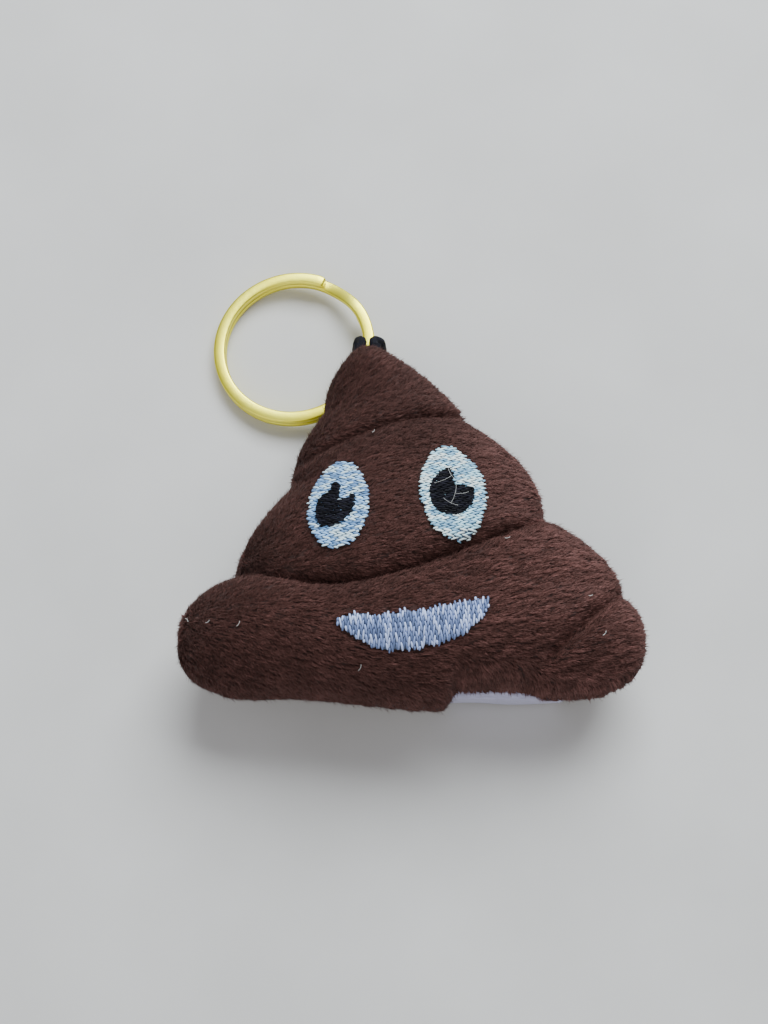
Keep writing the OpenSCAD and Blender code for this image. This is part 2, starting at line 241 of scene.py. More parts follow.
def sewn_body_simulation():
    """The two pelts, sewn along the rim and drawn in at the creases, blown up by the filling.
    Worked out at 20 times the size; what is kept is how far each point of the cloth moves."""
    M, N, K = 72, 54, 20.0
    s = np.linspace(0, 1, M + 1)
    t = 0.7 * s + 0.15 * (1 - np.cos(np.pi * s))
    front, back = skin_grid(M, N, SKIN, True), skin_grid(M, N, SKIN, False)
    k = (M + 1) * (N + 1)
    rim = border(M, N)
    index = np.arange(k) + k
    index[rim] = rim
    inner = np.setdiff1d(np.arange(k), rim)
    index[inner] = k + np.arange(len(inner))
    verts = np.concatenate([front.reshape(-1, 3), back.reshape(-1, 3)[inner]])
    faces = np.concatenate([grid_quads(M, N, 0, False), index[grid_quads(M, N, 0, True)]])
    me = bpy.data.meshes.new("sewn_body")
    me.from_pydata((verts * MM * K).tolist(), [], faces.tolist())
    ob = bpy.data.objects.new("sewn_body", me)
    bpy.context.scene.collection.objects.link(ob)
    x, y, z = verts.T
    hold = np.zeros(len(verts))
    hold[rim] = 1
    on_front = np.arange(len(verts)) < k
    drawn = np.maximum(np.maximum(dip(y - crease1_y(x), 0.8), dip(y - crease2_y(x), 0.9)), dip(y - crease3_y(x), 0.9) * smooth((x - 20) / 5))
    hold = np.where(on_front, np.maximum(hold, drawn), hold)
    hold = np.where(~on_front & (z < 0.9), 1, hold)
    hold = np.where(on_front & (in_oval_box(x, y)), np.maximum(hold, 0.75), hold)
    group = ob.vertex_groups.new(name="sewn")
    for i, h in enumerate(hold):
        if h > 0.02:
            group.add([i], float(h), "REPLACE")
    cloth = ob.modifiers.new("cloth", "CLOTH")
    c = cloth.settings
    c.quality = 6
    c.mass = 0.3
    c.tension_stiffness = c.compression_stiffness = 12
    c.shear_stiffness = 6
    c.bending_stiffness = 0.5
    c.vertex_group_mass = "sewn"
    c.pin_stiffness = 5
    c.use_pressure = True
    c.uniform_pressure_force = 3.0
    c.effector_weights.gravity = 0
    c.time_scale = 1.0
    cloth.collision_settings.use_collision = False
    scene = bpy.context.scene
    for frame_number in range(1, 21):
        scene.frame_set(frame_number)
    moved = ob.evaluated_get(bpy.context.evaluated_depsgraph_get()).to_mesh()
    co = np.empty(len(verts) * 3)
    moved.vertices.foreach_get("co", co)
    d = co.reshape(-1, 3) / (MM * K) - verts
    scene.frame_set(1)
    bpy.data.objects.remove(ob)
    size = np.linalg.norm(d, axis=1)
    print("cloth moved, mm: mean %.2f, most %.2f" % (size.mean(), size.max()))
    d *= (np.minimum(size, 0.7) / np.maximum(size, 1e-9))[:, None]
    d[rim] = 0
    # back to an even grid in t, so that it can be looked up
    out = {}
    even = np.linspace(0, 1, M + 1)
    for side in (True, False):
        g = d[:k] if side else d[index]
        g = g.reshape(M + 1, N + 1, 3)
        lo = np.clip(np.searchsorted(t, even) - 1, 0, M - 1)
        a = ((even - t[lo]) / (t[lo + 1] - t[lo]))[:, None, None]
        out[side] = g[lo] * (1 - a) + g[lo + 1] * a
    PUFF.update(out)


def in_oval_box(x, y):
    """Roughly where the stitched face stiffens the cloth."""
    return (((x + 6.6) / 4.6) ** 2 + ((y + 6) / 7.4) ** 2 < 1) | (((x - 9.9) / 5) ** 2 + ((y + 4.3) / 8) ** 2 < 1) | (((x - 3.8) / 11) ** 2 + ((y + 24) / 3.4) ** 2 < 1)


def grid_quads(m, n, o=0, flip=False):
    i, j = np.meshgrid(np.arange(m), np.arange(n), indexing="ij")
    a = o + i * (n + 1) + j
    q = np.stack([a, a + n + 1, a + n + 2, a + 1], -1).reshape(-1, 4)
    return q[:, ::-1] if flip else q


def border(m, n):
    return np.concatenate([np.arange(n + 1), np.arange(1, m + 1) * (n + 1) + n,
                           m * (n + 1) + np.arange(n - 1, -1, -1), np.arange(m - 1, 0, -1) * (n + 1)])


sewn_body_simulation()

# height of the front skin at any x, y, by looking it up on a fine grid
_front = skin_grid(420, 300, SKIN, True)


def _raster():
    step = 0.2
    gx, gy = np.arange(-32, 40, step), np.arange(-34, 26, step)
    z = np.full((len(gy), len(gx)), np.nan)
    p = _front
    # splat in both directions of the dense grid
    for k in range(3):
        q = p if k == 0 else (0.5 * (p[1:] + p[:-1]) if k == 1 else 0.5 * (p[:, 1:] + p[:, :-1]))
        ix = np.clip(((q[..., 0] + 32) / step).round().astype(int), 0, len(gx) - 1)
        iy = np.clip(((q[..., 1] + 34) / step).round().astype(int), 0, len(gy) - 1)
        z[iy.ravel(), ix.ravel()] = q[..., 2].ravel()
    for _ in range(12):  # fill the cells the splat missed
        hole = np.isnan(z)
        if not hole.any():
            break
        pad = np.pad(z, 1, constant_values=np.nan)
        nb = np.stack([pad[:-2, 1:-1], pad[2:, 1:-1], pad[1:-1, :-2], pad[1:-1, 2:]])
        with np.errstate(all="ignore"):
            mean = np.nanmean(nb, 0)
        z = np.where(hole, mean, z)
    return step, z


_step, _height = _raster()


def skin_z(x, y):
    fx, fy = (np.asarray(x, float) + 32) / _step, (np.asarray(y, float) + 34) / _step
    ix, iy = np.clip(np.floor(fx).astype(int), 0, _height.shape[1] - 2), np.clip(np.floor(fy).astype(int), 0, _height.shape[0] - 2)
    a, b = fx - ix, fy - iy
    z = _height
    return (z[iy, ix] * (1 - a) * (1 - b) + z[iy, ix + 1] * a * (1 - b) + z[iy + 1, ix] * (1 - a) * b + z[iy + 1, ix + 1] * a * b)


def skin_normal(x, y, e=0.5):
    dx = (skin_z(x + e, y) - skin_z(x - e, y)) / (2 * e)
    dy = (skin_z(x, y + e) - skin_z(x, y - e)) / (2 * e)
    n = np.stack([-dx, -dy, np.ones_like(dx)], -1)
    return n / np.linalg.norm(n, axis=-1, keepdims=True)


# ------------------------------------------------------------------ materials
def principled(name, color, rough=0.8, metallic=0.0, sheen=0.0, sheen_tint=None, spec=None):
    m = bpy.data.materials.new(name)
    m.use_nodes = True
    p = m.node_tree.nodes["Principled BSDF"]
    p.inputs["Base Color"].default_value = (*color, 1)
    p.inputs["Roughness"].default_value = rough
    p.inputs["Metallic"].default_value = metallic
    if sheen:
        p.inputs["Sheen Weight"].default_value = sheen
        p.inputs["Sheen Roughness"].default_value = 0.45
        if sheen_tint:
            p.inputs["Sheen Tint"].default_value = (*sheen_tint, 1)
    if spec is not None:
        p.inputs["Specular IOR Level"].default_value = spec
    return m, p


def noisy(name, dark, light, scale, rough=0.8, bump=0.0, bump_scale=None, detail=4.0, stretch=(1, 1, 1), **kw):
    """A principled material whose colour runs between two tones by noise, with a little bump."""
    m, p = principled(name, light, rough, **kw)
    nt = m.node_tree
    coord = nt.nodes.new("ShaderNodeTexCoord")
    mapping = nt.nodes.new("ShaderNodeMapping")
    mapping.inputs["Scale"].default_value = stretch
    nt.links.new(coord.outputs["Object"], mapping.inputs["Vector"])
    noise = nt.nodes.new("ShaderNodeTexNoise")
    noise.inputs["Scale"].default_value = scale
    noise.inputs["Detail"].default_value = detail
    nt.links.new(mapping.outputs["Vector"], noise.inputs["Vector"])
    ramp = nt.nodes.new("ShaderNodeValToRGB")
    ramp.color_ramp.elements[0].position = 0.35
    ramp.color_ramp.elements[1].position = 0.68
    ramp.color_ramp.elements[0].color = (*dark, 1)
    ramp.color_ramp.elements[1].color = (*light, 1)
    nt.links.new(noise.outputs["Fac"], ramp.inputs["Fac"])
    nt.links.new(ramp.outputs["Color"], p.inputs["Base Color"])
    if bump:
        n2 = nt.nodes.new("ShaderNodeTexNoise")
        n2.inputs["Scale"].default_value = bump_scale or scale * 4
        n2.inputs["Detail"].default_value = 3
        nt.links.new(mapping.outputs["Vector"], n2.inputs["Vector"])
        b = nt.nodes.new("ShaderNodeBump")
        b.inputs["Strength"].default_value = bump
        b.inputs["Distance"].default_value = 0.0002
        nt.links.new(n2.outputs["Fac"], b.inputs["Height"])
        nt.links.new(b.outputs["Normal"], p.inputs["Normal"])
    return m


FUR = np.array([0.105, 0.0430, 0.0345])
skin_mat = noisy("knit_ground", tuple(FUR * 0.28), tuple(FUR * 0.5), 900, 0.95)


# ------------------------------------------------------------------ mesh helpers
def raw_mesh(name, verts, tris=None, quads=None, mats=(), tri_mat=None, quad_mat=None, smooth_shade=True):
    """A mesh from arrays in millimetres."""
    me = bpy.data.meshes.new(name)
    v = np.asarray(verts, np.float32).reshape(-1, 3) * MM
    me.vertices.add(len(v))
    me.vertices.foreach_set("co", v.ravel())
    t = np.zeros((0, 3), np.int32) if tris is None else np.asarray(tris, np.int32).reshape(-1, 3)
    q = np.zeros((0, 4), np.int32) if quads is None else np.asarray(quads, np.int32).reshape(-1, 4)
    loops = np.concatenate([t.ravel(), q.ravel()])
    me.loops.add(len(loops))
    me.loops.foreach_set("vertex_index", loops)
    me.polygons.add(len(t) + len(q))
    start = np.concatenate([np.arange(len(t)) * 3, len(t) * 3 + np.arange(len(q)) * 4]).astype(np.int32)
    me.polygons.foreach_set("loop_start", start)
    mi = np.concatenate([np.zeros(len(t), np.int32) if tri_mat is None else np.asarray(tri_mat, np.int32),
                         np.zeros(len(q), np.int32) if quad_mat is None else np.asarray(quad_mat, np.int32)])
    me.polygons.foreach_set("material_index", mi)
    me.polygons.foreach_set("use_smooth", np.full(len(t) + len(q), smooth_shade))
    me.update(calc_edges=True)
    me.validate()
    for m in mats:
        me.materials.append(m)
    ob = bpy.data.objects.new(name, me)
    bpy.context.scene.collection.objects.link(ob)
    return ob


def panel(name, front, m=150, n=110):
    outer, inner = skin_grid(m, n, SKIN, front), skin_grid(m, n, SKIN + 0.35, front)
    if not front:
        inner[..., 2] = np.maximum(inner[..., 2], outer[..., 2] + 0.1)
        inner[..., 2] = np.minimum(inner[..., 2], np.maximum(seam_z(outer[..., 1]), outer[..., 2] + 0.1))
    else:
        inner[..., 2] = np.minimum(inner[..., 2], outer[..., 2] - 0.1)
    gap = 0.03 if front else -0.03
    outer[..., 2] += gap
    inner[..., 2] += gap
    k = (m + 1) * (n + 1)
    b = border(m, n)
    a, c = b, np.roll(b, -1)
    rim = np.stack([a, c, c + k, a + k], -1)
    if not front:
        rim = rim[:, ::-1]
    quads = np.concatenate([grid_quads(m, n, 0, not front), grid_quads(m, n, k, front), rim])
    ob = raw_mesh(name, np.concatenate([outer.reshape(-1, 3), inner.reshape(-1, 3)]), quads=quads, mats=[skin_mat])
    return ob


def tube(points, radius, sides=10, caps=True, profile=None, up=(0.03, 0.1, 1)):
    """Vertices and quads of a tube along points (mm). radius may be one number or one per point;
    profile(phi, s) scales the radius round and along the tube."""
    p = np.asarray(points, float)
    t = np.gradient(p, axis=0)
    t /= np.linalg.norm(t, axis=1, keepdims=True)
    s = np.cross(t[0], np.asarray(up, float))
    frames = []
    for k in range(len(p)):  # parallel transport
        s = s - t[k] * np.dot(s, t[k])
        s /= np.linalg.norm(s)
        frames.append((s.copy(), np.cross(t[k], s)))
    length = np.concatenate([[0], np.cumsum(np.linalg.norm(np.diff(p, axis=0), axis=1))])
    phi = np.arange(sides) / sides * 2 * np.pi
    r = np.broadcast_to(np.asarray(radius, float), (len(p),))
    v = []
    for k in range(len(p)):
        rr = r[k] * (profile(phi, length[k]) if profile else np.ones(sides))
        v.append(p[k] + rr[:, None] * (np.cos(phi)[:, None] * frames[k][0] + np.sin(phi)[:, None] * frames[k][1]))
    v = np.concatenate(v)
    i, j = np.meshgrid(np.arange(len(p) - 1), np.arange(sides), indexing="ij")
    a, b = i * sides + j, i * sides + (j + 1) % sides
    q = np.stack([a, b, b + sides, a + sides], -1).reshape(-1, 4)
    tri = np.zeros((0, 3), int)
    if caps:
        c0, c1 = len(v), len(v) + 1
        v = np.concatenate([v, [p[0] - t[0] * r[0] * 0.35], [p[-1] + t[-1] * r[-1] * 0.35]])
        j = np.arange(sides)
        last = (len(p) - 1) * sides
        tri = np.concatenate([np.stack([np.full(sides, c0), (j + 1) % sides, j], -1),
                              np.stack([np.full(sides, c1), last + j, last + (j + 1) % sides], -1)])
    return v, q, tri


def join_parts(name, parts, mats, index=None):
    """One object from several (verts, quads, tris), each with its material index."""
    vs, qs, ts, qm, tm, o = [], [], [], [], [], 0
    for k, (v, q, t) in enumerate(parts):
        mi = 0 if index is None else index[k]
        vs.append(v)
        qs.append(np.asarray(q) + o)
        ts.append(np.asarray(t, int).reshape(-1, 3) + o)
        qm.append(np.full(len(q), mi))
        tm.append(np.full(len(ts[-1]), mi))
        o += len(v)
    return raw_mesh(name, np.concatenate(vs), np.concatenate(ts), np.concatenate(qs), mats, np.concatenate(tm), np.concatenate(qm))


# ------------------------------------------------------------------ the face: regions in the plane
EYES = {
    "left": [(-6.2, 1.2), (-4.5, 0.6), (-3.1, -1.8), (-2.3, -3.8), (-2.1, -5.7), (-2.2, -7.8), (-2.7, -9.7), (-4.0, -12.0), (-5.6, -12.9), (-7.4, -13.2),
             (-9.2, -12.4), (-10.2, -10.8), (-10.8, -9.3), (-11.0, -7.8), (-10.8, -4.9), (-9.8, -1.6), (-8.6, 0.1), (-7.3, 1.0)],
    "right": [(9.0, 3.6), (10.4, 3.3), (11.7, 2.1), (13.4, 0.1), (14.3, -1.7), (14.7, -4.1), (14.6, -6.4), (14.0, -8.6), (13.4, -10.3), (12.2, -11.6),
              (10.5, -12.1), (8.8, -11.7), (6.9, -10.4), (5.9, -8.4), (5.3, -6.2), (5.0, -4.1), (5.1, -2.4), (5.7, -0.4), (6.8, 1.9), (7.8, 3.1)],
}
PUPILS = {
    "left": [(-9.9, -7.1), (-9.4, -5.1), (-8.4, -4.4), (-7.7, -3.9), (-7.7, -2.9), (-7.0, -2.5), (-6.2, -3.1), (-6.5, -4.3), (-6.4, -5.4), (-5.0, -5.5),
             (-4.7, -4.4), (-4.1, -5.7), (-4.3, -6.9), (-5.0, -8.3), (-5.9, -9.3), (-7.6, -9.9), (-9.0, -9.7), (-9.6, -8.6)],
    "right": [(7.9, -1.4), (9.2, -0.5), (10.0, -1.4), (9.9, -2.6), (10.3, -3.5), (12.8, -3.6), (13.0, -4.8), (12.8, -6.0), (12.1, -7.1), (11.2, -8.0),
              (10.2, -8.5), (8.5, -8.2), (7.5, -7.7), (6.8, -6.8), (6.4, -5.1), (6.5, -3.8), (7.0, -2.7)],
}
SMILE = [(-7.0, -23.6), (-4.3, -22.8), (-1.4, -23.0), (1.1, -22.7), (3.6, -22.3), (5.7, -22.2), (8.1, -21.7), (10.4, -21.2), (12.7, -20.8), (14.8, -20.5),
         (14.6, -21.8), (13.5, -23.5), (11.9, -24.9), (10.4, -25.8), (7.3, -26.7), (4.7, -27.3), (1.1, -27.5), (-1.2, -27.2), (-3.5, -26.3), (-5.8, -24.8)]


def in_outline(x, y, outline, grow=0.0):
    """Whether points lie inside a closed outline, grown or shrunk by a distance."""
    o = np.array(outline, float)
    c = o.mean(0)
    r = np.linalg.norm(o - c, axis=1, keepdims=True)
    o = c + (o - c) * (1 + grow / r)
    x, y = np.asarray(x, float), np.asarray(y, float)
    hit = np.zeros(np.broadcast(x, y).shape, bool)
    for (x0, y0), (x1, y1) in zip(o, np.roll(o, -1, 0)):
        if y0 == y1:
            continue
        span = (y0 > y) != (y1 > y)
        hit ^= span & (x < (x1 - x0) * (y - y0) / (y1 - y0) + x0)
    return hit


def in_face(x, y, grow=0.0):
    return in_outline(x, y, EYES["left"], grow) | in_outline(x, y, EYES["right"], grow) | in_outline(x, y, SMILE, grow)


# ------------------------------------------------------------------ plush panels and pile
front_skin = panel("plush_front", True)
back_skin = panel("plush_back", False)


def sample_surface(front, count, seed):
    """Random points of the skin, even by area: position, normal."""
    r = np.random.default_rng(seed)
    g = skin_grid(300, 220, SKIN, front)
    a, b, c, d = g[:-1, :-1], g[:-1, 1:], g[1:, 1:], g[1:, :-1]
    tri = np.concatenate([np.stack([a, d, c], -2).reshape(-1, 3, 3), np.stack([a, c, b], -2).reshape(-1, 3, 3)])
    if not front:
        tri = tri[:, ::-1]
    n = np.cross(tri[:, 1] - tri[:, 0], tri[:, 2] - tri[:, 0])
    area = np.linalg.norm(n, axis=1) / 2
    ok = area > 1e-9
    tri, n, area = tri[ok], n[ok] / (2 * area[ok][:, None]), area[ok]
    w = area.copy()
    if not front:  # little pile shows where the back lies on the table
        w *= np.where(tri[:, 0, 2] < 0.8, 0.45, 1)
    pick = r.choice(len(tri), count, p=w / w.sum())
    u, v = r.random(count), r.random(count)
    f = u + v > 1
    u[f], v[f] = 1 - u[f], 1 - v[f]
    t = tri[pick]
    p = t[:, 0] + u[:, None] * (t[:, 1] - t[:, 0]) + v[:, None] * (t[:, 2] - t[:, 0])
    return p, n[pick], float(area.sum())


def nap_angle(x, y):
    """Which way the pile lies: nearly level, rising to the right, and steeper at the tip."""
    base = mix(math.radians(9), math.radians(42), smooth((y - 5) / 14))
    side = math.radians(10) * np.clip((x - 5) / 30, -1, 1) * smooth((4 - y) / 12)
    low = -math.radians(8) * smooth((-18 - y) / 10)
    return base + side + low + math.radians(16) * fbm(x / 6.0, y / 6.0, 17)


def ribs(x, y):
    """Fine ridges that the knit's rows leave in the pile, -1 to 1; where it sets the pile's tone it also darkens the
    grooves as painted shade.
    """
    w = fbm(x / 6.0, y / 6.0, 77) * 1.3
    level = value_noise((x + w) / 1.9, (y - 0.17 * x + w) / 0.42, 61)
    steep = value_noise((0.72 * x + 0.7 * y + w) / 1.7, (0.72 * y - 0.7 * x + w) / 0.5, 62)
    return mix(level, steep, smooth((y - 6) / 8))


# brightness steps of the pile blades, picked per blade by its tone: random tone mixed with painted light and painted
# shade
SHADES = [0.36, 0.52, 0.7, 0.9, 1.15, 1.45, 1.85]
fur_mats = []
for k, share in enumerate(SHADES):
    tint = FUR * share * np.array([1.0, 0.97 + 0.015 * k, 0.96 + 0.03 * k])
    fur_mats.append(principled(f"pile_{k}", tuple(tint), 0.72 - 0.02 * k, sheen=0.10 + 0.03 * k, sheen_tint=(0.62, 0.42, 0.36), spec=0.2)[0])


def make_pile(front, clumps, per_clump, seed, prefix, pieces):
    r = np.random.default_rng(seed)
    p, n, area = sample_surface(front, clumps, seed)
    x, y = p[:, 0], p[:, 1]
    th = nap_angle(x, y)
    if front:
        keep = ~in_face(x, y, -0.05) | (n[:, 2] < 0.2)
        p, n, th = p[keep], n[keep], th[keep]
    N = len(p)
    t0 = np.stack([np.cos(th), np.sin(th), np.full(N, -0.12)], -1)
    T = t0 - n * np.sum(t0 * n, -1, keepdims=True)
    weak = np.linalg.norm(T, axis=1) < 0.35
    T[weak] += np.array([0, -0.25, -0.35 if front else 0.35])
    if front:  # along the bottom seam the pile hangs over the edge
        over_edge = smooth((0.62 - n[:, 2]) / 0.3) * smooth((-26.5 - p[:, 1]) / 2.0)
        over_edge *= 0.3 + 0.7 * smooth((p[:, 0] - 6) / 5)
        T = T * (1 - 0.85 * over_edge[:, None]) + over_edge[:, None] * np.array([0.1, -0.6, -0.8])
    T = T - n * np.sum(T * n, -1, keepdims=True)
    T /= np.linalg.norm(T, axis=1, keepdims=True)
    B = np.cross(n, T)
    rib = ribs(p[:, 0], p[:, 1]) * (1.0 if front else 0.6)
    rib = rib * (0.42 + 0.5 * smooth((p[:, 0] + 6) / 24))
    tall = 0.74 + 0.2 * r.random(N) + 0.26 * rib
    broad = fbm(p[:, 0] / 6.5, p[:, 1] / 6.5, 51)
    # tone: the rib term darkens blades in the grooves (painted shade), the term in x lightens the right side where the
    # light falls (painted light); the rest is random tone
    tone = 0.4 * broad + 0.8 * rib + 0.3 * r.normal(size=N) + 0.22 * smooth((p[:, 0] - 4) / 22)
    # painted shade: darker over the brow and tip at the upper left, below the upper crease
    tone -= 0.46 * smooth((p[:, 1] + 6) / 10) * smooth((16 - p[:, 0]) / 10)
    lift = np.radians(30 + 9 * r.normal(size=N))
    lift = np.clip(lift, math.radians(14), math.radians(56))
    k = per_clump
    rep = lambda a: np.repeat(a, k, axis=0)  # noqa: E731
    P, Nn, Tt, Bb = rep(p), rep(n), rep(T), rep(B)
    M = N * k
    along = (r.random(M) - 0.5) * 0.95
    across = r.normal(size=M) * 0.095
    root = P + Tt * along[:, None] + Bb * across[:, None]
    if front:  # follow the surface under the clump's spread
        dz = skin_z(root[:, 0], root[:, 1]) - skin_z(P[:, 0], P[:, 1])
        up = Nn[:, 2] > 0.35
        root[up, 2] = P[up, 2] + dz[up]
    length = 1.08 * rep(tall) * (0.8 + 0.35 * r.random(M))
    li = rep(lift) + np.radians(6) * r.normal(size=M)
    side = (-across * 0.7 + 0.06 * r.normal(size=M))[:, None]
    # a few loose tufts stand up, which roughens the silhouette
    wild = r.random(M) < 0.03
    li = np.where(wild, li + 0.5, li)
    length = np.where(wild, length * 1.3, length)
    if front:  # pile is pressed down beside the stitches
        tipx, tipy = root[:, 0] + Tt[:, 0] * length, root[:, 1] + Tt[:, 1] * length
        over = in_face(tipx, tipy, 0.0) & (Nn[:, 2] > 0.2)
        length = np.where(over, length * 0.5, length)
        li = np.where(over, li + 0.35, li)

    def step(l, a):
        return l[:, None] * (np.cos(a)[:, None] * Tt + np.sin(a)[:, None] * Nn)

    root = root - Nn * 0.06
    mid = root + step(length * 0.5, li + 0.2) + Bb * side * 0.4 * length[:, None]
    tip = mid + step(length * 0.5, li - 0.28) + Bb * side * 0.6 * length[:, None]
    for q in (root, mid, tip):
        q[:, 2] = np.maximum(q[:, 2], 0.03)
    roll = np.radians(28) * r.normal(size=M)
    W = Bb * np.cos(roll)[:, None] + Nn * np.sin(roll)[:, None]
    w0 = (0.04 + 0.028 * r.random(M))[:, None]
    verts = np.stack([root - W * w0, root + W * w0, mid - W * w0 * 0.85, mid + W * w0 * 0.85, tip], 1).reshape(-1, 3)
    shade = np.clip(np.round(3.0 + 2.3 * rep(tone) + 0.5 * r.normal(size=M)), 0, len(SHADES) - 1).astype(int)
    obs = []
    # cut into strips of whole blades, by place along the body
    order = np.argsort(P[:, 1])
    for c in range(pieces):
        part = order[c * M // pieces:(c + 1) * M // pieces]
        vv = verts.reshape(M, 5, 3)[part].reshape(-1, 3)
        b2 = np.arange(len(part))[:, None] * 5
        ob = raw_mesh(f"{prefix}_{c + 1}", vv, b2 + np.array([2, 3, 4]), b2 + np.array([0, 1, 3, 2]), fur_mats,
                      shade[part], shade[part], smooth_shade=False)
        obs.append(ob)
    return obs, area


front_pile, front_area = make_pile(True, 33000, 9, 101, "pile_front", 5)
back_pile, back_area = make_pile(False, 17000, 9, 202, "pile_back", 3)
for ob in front_pile + back_pile:
    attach(ob, "plush")
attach(front_skin, "plush")
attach(back_skin, "plush")
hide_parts("front_panel")
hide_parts("back_panel")

filling_mat = noisy("polyester_filling", (0.75, 0.75, 0.73), (0.9, 0.9, 0.88), 600, 0.95, bump=0.6)
backing_mat = noisy("nonwoven_backing", (0.7, 0.7, 0.7), (0.85, 0.85, 0.85), 1500, 0.9, bump=0.3)
fm, fn = 60, 44
fa, fb = skin_grid(fm, fn, SKIN + 1.5, True), skin_grid(fm, fn, SKIN + 1.5, False)
fa[..., 2] = np.maximum(fa[..., 2] - 0.25, fb[..., 2] + 0.1)
rimf = border(fm, fn)
kf = (fm + 1) * (fn + 1)
walls = np.stack([rimf, np.roll(rimf, -1), np.roll(rimf, -1) + kf, rimf + kf], -1)
filling = raw_mesh("fibre_filling", np.concatenate([fa.reshape(-1, 3), fb.reshape(-1, 3)]),
                   quads=np.concatenate([grid_quads(fm, fn, 0, False), grid_quads(fm, fn, kf, True), walls]), mats=[filling_mat])
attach(filling, "plush")
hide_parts("stuffing")

ia, ib, ja, jb = 26, 86, 30, 82  # the part of a fine grid behind the face
ba = skin_grid(100, 110, SKIN + 0.55, True)[ia:ib + 1, ja:jb + 1]
bb = skin_grid(100, 110, SKIN + 0.75, True)[ia:ib + 1, ja:jb + 1]
bm, bn = ib - ia, jb - ja
kb = (bm + 1) * (bn + 1)
rimb = border(bm, bn)
walls = np.stack([rimb, np.roll(rimb, -1), np.roll(rimb, -1) + kb, rimb + kb], -1)
bb[..., 2] = np.minimum(bb[..., 2], ba[..., 2] - 0.08)
backing = raw_mesh("face_backing", np.concatenate([ba.reshape(-1, 3), bb.reshape(-1, 3)]),
                   quads=np.concatenate([grid_quads(bm, bn, 0, False), grid_quads(bm, bn, kb, True), walls]), mats=[backing_mat])
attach(backing, "plush")
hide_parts("embroidery_backing")


# ------------------------------------------------------------------ embroidery
def thread_mats(name, tones, rough, sheen, spec):
    return [principled(f"{name}_{k}", t, rough, sheen=sheen, spec=spec)[0] for k, t in enumerate(tones)]


# All three fills are the same white thread. Their blue cast is painted daylight; the right eye's tones are made lighter
# as painted light, the left eye's darker and the smile's darker still as painted shade. Within each, the dark, middle
# and light steps that single stitches take at random stand in for shade and highlights on the stitches.
left_eye_shaded_thread_mats = thread_mats("left_eye_white_thread_painted_shade", [(0.16, 0.31, 0.55), (0.35, 0.61, 0.94), (0.70, 0.90, 1.0)], 0.38, 0.06, 0.45)
right_eye_lit_thread_mats = thread_mats("right_eye_white_thread_painted_light", [(0.26, 0.50, 0.68), (0.53, 0.86, 1.0), (0.86, 1.0, 1.0)], 0.36, 0.06, 0.5)
smile_shaded_thread_mats = thread_mats("smile_white_thread_painted_shade", [(0.14, 0.20, 0.39), (0.29, 0.39, 0.70), (0.55, 0.67, 1.0)], 0.42, 0.12, 0.5)
black_mats = thread_mats("black_thread", [(0.0025, 0.0025, 0.0045), (0.005, 0.005, 0.009), (0.010, 0.010, 0.017)], 0.6, 0.0, 0.12)


